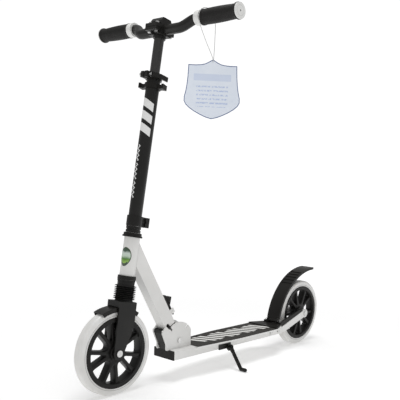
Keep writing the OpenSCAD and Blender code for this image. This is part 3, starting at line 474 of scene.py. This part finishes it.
bpy.ops.object.select_all(action="DESELECT")
bpy.ops.mesh.primitive_circle_add(vertices=10, radius=0.0015, location=(0.0119, 0, 0.1212),
                                  rotation=(pi / 2, 0, 0))
coil = bpy.context.active_object
coil.name = "fork_coil"
alone(coil)
bpy.ops.object.transform_apply(location=True, rotation=True, scale=True)
wind = coil.modifiers.new("wind", "SCREW")
wind.axis = "Z"
wind.angle = 2 * pi * 5
wind.screw_offset = 0.0388
wind.steps = wind.render_steps = 140
bpy.ops.object.modifier_apply(modifier="wind")
bpy.ops.object.mode_set(mode="EDIT")
bpy.ops.mesh.select_all(action="SELECT")
bpy.ops.mesh.fill_holes(sides=0)
bpy.ops.object.mode_set(mode="OBJECT")
settle(coil, steering)
smooth_by(coil, 60)
coil.data.materials.append(zinc)
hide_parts("suspension_spring")
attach(coil, "column")
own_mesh(coil)

# --- Brake pad ------------------------------------------------------------------------------------
# Block of friction rubber under the fender.
dress(["brake_pad"], black_rubber)

# --- Stem tube ------------------------------------------------------------------------------------
# Outer tube of the telescopic stem, satin black, with three slanted white bands above a thin white zigzag
# line. The print is on the left of the tube's front.
stem_radius = 0.01525
band_foot, band_pitch = 0.4965, 0.0275
line_foot, line_top = 0.352, 0.4755
print_x, print_y = 0.774, 0.633
stem_coat, tree, shader = blank_paint("printed stem coat", (0.01, 0.0095, 0.009), 0.3, Coat_Weight=0.05,
                                      Coat_Roughness=0.15)
shader.inputs["Specular IOR Level"].default_value = 0.28
ahead, side, up = object_axes(tree, foot, (0, -steer_lean, 0))
leftwards = calc(tree, "MULTIPLY", side, print_x)
sideways = calc(tree, "SUBTRACT", calc(tree, "MULTIPLY", ahead, print_y), leftwards)
round_by = calc(tree, "DIVIDE", sideways, stem_radius)
forwards = calc(tree, "ADD", calc(tree, "MULTIPLY", ahead, print_x), calc(tree, "MULTIPLY", side, print_y))
facing = calc(tree, "GREATER_THAN", forwards, -0.004)
lift = calc(tree, "SUBTRACT", up, calc(tree, "MULTIPLY", round_by, 0.0085))
step = calc(tree, "FRACT", calc(tree, "DIVIDE", calc(tree, "SUBTRACT", lift, band_foot), band_pitch), 0)
three = between(tree, lift, band_foot, band_foot + 0.0824)
bands = calc(tree, "MULTIPLY", between(tree, step, 0.0, 0.66), three)
bands = calc(tree, "MULTIPLY", bands, between(tree, round_by, -0.66, 1.1))
tooth = calc(tree, "PINGPONG", up, 0.0052)
zigzag = calc(tree, "SUBTRACT", round_by, calc(tree, "MULTIPLY", tooth, 62))
gap = calc(tree, "FRACT", calc(tree, "DIVIDE", calc(tree, "SUBTRACT", up, line_foot), 0.0415), 0)
squiggle = calc(tree, "MULTIPLY", between(tree, zigzag, 0.44, 0.60), between(tree, gap, 0.0, 0.88))
squiggle = calc(tree, "MULTIPLY", squiggle, between(tree, up, line_foot, line_top))
mark = calc(tree, "MULTIPLY", calc(tree, "MAXIMUM", bands, squiggle), facing)
coat = ramp(tree, object_noise(tree, 12, 4), [(0.3, (0.009, 0.0088, 0.008)), (0.7, (0.016, 0.0155, 0.0145))])
colour_by(tree, print_over(tree, mark, coat, (0.80, 0.80, 0.79)), shader)
vary_roughness(tree, object_noise(tree, 60), shader, 0.24, 0.38)
bump(tree, object_noise(tree, 900, 2), shader, 0.00004)
dress(["stem_tube"], stem_coat)

# --- Inner tube -----------------------------------------------------------------------------------
# Height-adjusting tube, dark anodised and drawn along its length, which slides in the stem.
anodised = bright_steel("dark anodised alloy", (0.10, 0.098, 0.096), 0.3, brushed=(6, 6, 0.3))
dress(["inner_tube"], anodised)

# --- Grips ----------------------------------------------------------------------------------------
# Soft rubber sleeves with fine rings round them and a raised flange at each end, pushed onto the bar between
# a white plastic collar and a white end cap.
bar_bore = 0.0113
grip_centre = Vector((-0.0115, 0, 0.748))


def grip_outline(start, end):
    """(radius, height) round one wall, with shallow ribs on a barrel between two flanges."""
    wall = [(bar_bore, start), (0.0157, start), (0.0166, start + 0.0006), (0.0167, start + 0.0040),
            (0.0161, start + 0.0052)]
    count = 20
    first, last = start + 0.008, end - 0.009
    pitch = (last - first) / count
    for k in range(count):
        z = first + (last - first) * k / count
        barrel = 0.0150 + 0.0014 * cos(pi * (0.85 * (k + 0.5) / count - 0.30))
        groove = barrel - 0.0003
        rise, fall, foot = pitch * 0.22, pitch * 0.72, pitch * 0.94
        wall += [(groove, z), (barrel, z + rise), (barrel, z + fall), (groove, z + foot)]
    flange = [(0.0150, end - 0.007), (0.0164, end - 0.0042), (0.0170, end - 0.0034), (0.0170, end - 0.0006)]
    return wall + flange + [(0.0166, end), (bar_bore, end)]


grip_rubber = moulded("grip rubber", (0.011, 0.0105, 0.010), 0.55, grain=1700, depth=0.0001)
grip_frame = steering @ Matrix.Translation(grip_centre)
grip_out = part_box("grips")[1].y
grip_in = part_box("grip_collars")[1].y + 0.0001
for side, way in (("left", 1), ("right", -1)):
    grip = turned("grip_" + side, grip_outline(grip_in, grip_out), 48)
    settle(grip, grip_frame @ Matrix.Rotation(-way * pi / 2, 4, "X"))
    smooth_by(grip, 35)
    grip.data.materials.append(grip_rubber)
    if way > 0:
        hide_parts("grips")
    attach(grip, "bar_post")
white_gloss = powder_coat("white moulding", (0.78, 0.78, 0.765), (0.72, 0.72, 0.70), 0.28, peel=0.00002)
dress(["grip_collars"], white_gloss)
cap_white, tree, shader = blank_paint("white bar cap", (0.78, 0.78, 0.765), 0.3)
place = grow(tree, "TexCoord")
turn = grow(tree, "Mapping")
turn.vector_type = "TEXTURE"
turn.inputs["Location"].default_value = grip_frame.translation
turn.inputs["Scale"].default_value = (1, 1000, 1)
reach = grow(tree, "VectorMath")
reach.operation = "LENGTH"
tree.links.new(place.outputs["Object"], turn.inputs["Vector"])
tree.links.new(turn.outputs["Vector"], reach.inputs[0])
# Painted shade: the dark dot in the middle of the cap stands for the shade inside a hole; a faint grey ring
# is painted round it.
painted_hole_shade = calc(tree, "LESS_THAN", reach.outputs["Value"], 0.0019)
ring = calc(tree, "MULTIPLY", between(tree, reach.outputs["Value"], 0.0098, 0.0108), 0.25)
dot = calc(tree, "MAXIMUM", painted_hole_shade, ring)
plastic = ramp(tree, object_noise(tree, 40, 4), [(0.3, (0.73, 0.73, 0.715)), (0.7, (0.79, 0.79, 0.775))])
colour_by(tree, print_over(tree, dot, plastic, (0.16, 0.16, 0.16)), shader)
bump(tree, object_noise(tree, 900, 2), shader, 0.00002)
dress(["bar_end_plugs"], cap_white)

# --- Hang tag -------------------------------------------------------------------------------------
# Shield of coated card with a printed blue edge and soft rules of print, turned a little towards the front.
# It hangs from the left grip on a loop of twisted thread.
grip_middle = steering @ grip_centre
tag_turn = radians(40)
tag_place = Matrix.Translation(grip_middle + Vector((0, 0.150, -0.089))) @ Matrix.Rotation(tag_turn, 4, "Z")
shoulder = [(0, 0), (0.0050, -0.0028), (0.0101, -0.0058), (0.0165, -0.0088), (0.0235, -0.0106),
            (0.0370, -0.0117), (0.0519, -0.0115)]
flank = [(0.0524, -0.024), (0.0532, -0.038), (0.0546, -0.052), (0.0568, -0.066), (0.0598, -0.078),
         (0.0600, -0.087), (0.0560, -0.0945), (0.0480, -0.1015), (0.0370, -0.1085), (0.0240, -0.1150),
         (0.0115, -0.1200), (0, -0.1228)]
half = shoulder + flank
edge = half + [(-y, z) for y, z in half[-2:0:-1]]
bpy.ops.object.select_all(action="DESELECT")
bpy.ops.mesh.primitive_circle_add(vertices=len(edge), radius=0.05, fill_type="NGON")
tag = bpy.context.active_object
tag.name = "hang_card"
for vertex, (y, z) in zip(tag.data.vertices, edge):
    vertex.co = (0, y, z)
card = bpy.data.materials.new("printed card")
card.use_nodes = True
tree = card.node_tree
shader = tree.nodes["Principled BSDF"]
shader.inputs["Roughness"].default_value = 0.45
_, wide, tall = object_axes(tree, tag_place.translation, (0, 0, tag_turn))
inner = calc(tree, "ABSOLUTE", wide, 0)
title = calc(tree, "MULTIPLY", between(tree, tall, -0.044, -0.030), between(tree, inner, -1, 0.040))
row = calc(tree, "FRACT", calc(tree, "DIVIDE", tall, 0.0085), 0)
block = calc(tree, "MULTIPLY", between(tree, tall, -0.098, -0.050), between(tree, inner, -1, 0.034))
rows = calc(tree, "MULTIPLY", between(tree, row, 0.25, 0.62), block)
broken = calc(tree, "MULTIPLY", rows, calc(tree, "GREATER_THAN", object_noise(tree, 300, 1), 0.46))
rules = calc(tree, "MAXIMUM", calc(tree, "MULTIPLY", title, 0.35), calc(tree, "MULTIPLY", broken, 0.75))
pulp = ramp(tree, object_noise(tree, 30, 4), [(0.3, (0.77, 0.83, 0.93)), (0.7, (0.84, 0.89, 0.97))])
colour_by(tree, print_over(tree, rules, pulp, (0.42, 0.52, 0.78)), shader)
bump(tree, object_noise(tree, 700, 3), shader, 0.00003)
blue_edge, tree, shader = blank_paint("blue print", (0.09, 0.13, 0.27), 0.45)
blues = ramp(tree, object_noise(tree, 200, 3), [(0.3, (0.07, 0.11, 0.25)), (0.7, (0.13, 0.19, 0.36))])
colour_by(tree, blues, shader)
tag.data.materials.append(card)
tag.data.materials.append(blue_edge)
bpy.ops.object.mode_set(mode="EDIT")
bpy.ops.mesh.select_all(action="SELECT")
bpy.ops.mesh.inset(thickness=0.0017)
bpy.ops.object.mode_set(mode="OBJECT")
for polygon in tag.data.polygons:
    polygon.material_index = 1 if len(polygon.vertices) == 4 else 0
thick = tag.modifiers.new("thickness", "SOLIDIFY")
thick.thickness = 0.001
thick.offset = 0
alone(tag)
bpy.ops.object.modifier_apply(modifier="thickness")
settle(tag, tag_place)
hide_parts("hang_tag")
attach(tag, "tag")

thread_route = [(1.1, 150.9, -95), (3.4, 151, -85), (9, 136, -52), (15, 124, -20), (17.8, 121, -2),
                (14.5, 122, 10.5), (6, 124, 17), (-4, 128, 17.5), (-13, 131, 12), (-17.6, 134, 2),
                (-16.5, 138, -14), (-9, 145, -50), (-3, 149, -86), (-1.1, 149.1, -95)]
route = [grip_middle + Vector(p) / 1000 for p in thread_route]


def curve_through(points, steps):
    """A smooth line through every point, with its ends on the first and the last."""
    line = []
    for i in range(len(points) - 1):
        a, b, c, d = points[max(i - 1, 0)], points[i], points[i + 1], points[min(i + 2, len(points) - 1)]
        for k in range(steps):
            t = k / steps
            bend = t * t * (a - 2.5 * b + 2 * c - d / 2)
            twist = t ** 3 * (-a + 3 * b - 3 * c + d) / 2
            line.append(b + t * (c - a) / 2 + bend + twist)
    return line + [points[-1]]


route = curve_through(route, 5)
thread_width = 0.0014
thread_curve = bpy.data.curves.new("tag_thread", "CURVE")
thread_curve.dimensions = "3D"
thread_curve.bevel_depth = thread_width / 2
thread_curve.bevel_resolution = 3
thread_curve.use_fill_caps = True
spline = thread_curve.splines.new("POLY")
spline.points.add(len(route) - 1)
for point, place in zip(spline.points, route):
    point.co = (*place, 1)
thread = bpy.data.objects.new("tag_thread", thread_curve)
bpy.context.scene.collection.objects.link(thread)
cotton, tree, shader = blank_paint("twisted thread", (0.62, 0.62, 0.61), 0.8, Sheen_Weight=0.3)
strands = [(0.35, (0.42, 0.42, 0.42)), (0.65, (0.72, 0.72, 0.71))]
colour_by(tree, ramp(tree, object_noise(tree, 1500, 2, (1, 1, 0.4)), strands), shader)
bump(tree, object_noise(tree, 1500, 2, (1, 1, 0.4)), shader, 0.0001)
thread_curve.materials.append(cotton)
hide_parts("tag_string")
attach(thread, "tag")

# --- Head badge -----------------------------------------------------------------------------------
# Small domed badge of printed resin glued to the front of the head tube, with shaded greens inside a dark rim
# and no emblem on it.
badge_radius = 0.018
bpy.ops.object.select_all(action="DESELECT")
bpy.ops.mesh.primitive_circle_add(vertices=40, radius=badge_radius, fill_type="NGON")
badge = bpy.context.active_object
badge.name = "head_badge"
bpy.ops.object.mode_set(mode="EDIT")
bpy.ops.mesh.select_all(action="SELECT")
for ring_width in (0.0022, 0.003, 0.004, 0.004):
    bpy.ops.mesh.inset(thickness=ring_width)
bpy.ops.object.mode_set(mode="OBJECT")
for vertex in badge.data.vertices:
    x, y, _ = vertex.co
    spread = hypot(x, y) / badge_radius
    taper = 0.86 - 0.22 * max(0, -y / badge_radius) ** 2 - 0.10 * max(0, y / badge_radius) ** 4
    arc = x * taper / 0.0186
    reach = 0.0182 + 0.0016 * (1 - spread ** 4)
    vertex.co = (reach * cos(arc), reach * sin(arc), y * (1.12 if y > 0 else 1.28))
badge.data.materials.append(powder_coat("badge rim", (0.035, 0.06, 0.03), (0.06, 0.09, 0.045), 0.25))
field, tree, shader = blank_paint("badge field", (0.2, 0.4, 0.1), 0.25, Coat_Weight=0.4, Coat_Roughness=0.1)
_, _, up = object_axes(tree)
foot_z, top_z = (steering @ Vector((0, 0, 0.195))).z, (steering @ Vector((0, 0, 0.241))).z
height = grow(tree, "MapRange", From_Min=foot_z, From_Max=top_z)
ragged = calc(tree, "ADD", up, calc(tree, "MULTIPLY", object_noise(tree, 140, 2), 0.008))
tree.links.new(ragged, height.inputs["Value"])
greens = [(0.10, (0.62, 0.72, 0.22)), (0.36, (0.30, 0.52, 0.08)), (0.55, (0.07, 0.20, 0.03)),
          (0.70, (0.55, 0.66, 0.55)), (0.84, (0.60, 0.68, 0.62)), (0.96, (0.05, 0.09, 0.06))]
colour_by(tree, ramp(tree, height.outputs["Result"], greens), shader)
bump(tree, object_noise(tree, 300, 2), shader, 0.00008)
badge.data.materials.append(field)
for polygon in badge.data.polygons:
    middle = polygon.center
    polygon.material_index = 0 if hypot(middle.y / 0.0150, middle.z / 0.0215) > 0.80 else 1
shell = badge.modifiers.new("thickness", "SOLIDIFY")
shell.thickness = 0.0009
shell.offset = -1
alone(badge)
bpy.ops.object.modifier_apply(modifier="thickness")
settle(badge, steering @ Matrix.Translation((0, 0, 0.220)) @ Matrix.Rotation(radians(14), 4, "Z"))
smooth_by(badge, 40)
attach(badge, "front_frame")

# --- Floor and light ------------------------------------------------------------------------------
# Pale studio floor under an even white sky, with one large soft lamp overhead. The floor glows more with
# distance, so that it runs into the sky without a horizon.
bpy.ops.object.select_all(action="DESELECT")
bpy.ops.mesh.primitive_plane_add(size=60, location=(0, 0, -0.0005))
floor = bpy.context.active_object
floor.name = "floor"
paper, tree, shader = blank_paint("studio paper", (0.9, 0.9, 0.9), 0.9)
shader.inputs["Specular IOR Level"].default_value = 0.1
shader.inputs["Emission Color"].default_value = (1, 1, 1, 1)
place = grow(tree, "TexCoord")
away = grow(tree, "VectorMath")
away.operation = "LENGTH"
glow = grow(tree, "MapRange", From_Min=0.55, From_Max=2.6, To_Min=0.26, To_Max=0.68)
glow.interpolation_type = "SMOOTHSTEP"
tree.links.new(place.outputs["Object"], away.inputs[0])
tree.links.new(away.outputs["Value"], glow.inputs["Value"])
tree.links.new(glow.outputs["Result"], shader.inputs["Emission Strength"])
floor.data.materials.append(paper)
world = bpy.data.worlds.new("studio")
world.use_nodes = True
bpy.context.scene.world = world
tree = world.node_tree
sky = tree.nodes["Background"]
sky.inputs["Color"].default_value = (1, 1, 1, 1)
seen = grow(tree, "LightPath")
glow = grow(tree, "MapRange", To_Min=0.45, To_Max=1.05)
tree.links.new(seen.outputs["Is Camera Ray"], glow.inputs["Value"])
tree.links.new(glow.outputs["Result"], sky.inputs["Strength"])


def softbox(name, place, aim, size, power):
    lamp = bpy.data.lights.new(name, "AREA")
    lamp.shape = "RECTANGLE"
    lamp.size, lamp.size_y = size
    lamp.energy = power
    holder = bpy.data.objects.new(name, lamp)
    bpy.context.scene.collection.objects.link(holder)
    holder.location = place
    holder.rotation_euler = (Vector(aim) - Vector(place)).to_track_quat("-Z", "Y").to_euler()


softbox("key", (0.15, 0.15, 2.5), (0, 0, 0.1), (1.1, 1.1), 30)
bpy.context.scene.view_settings.view_transform = "Standard"
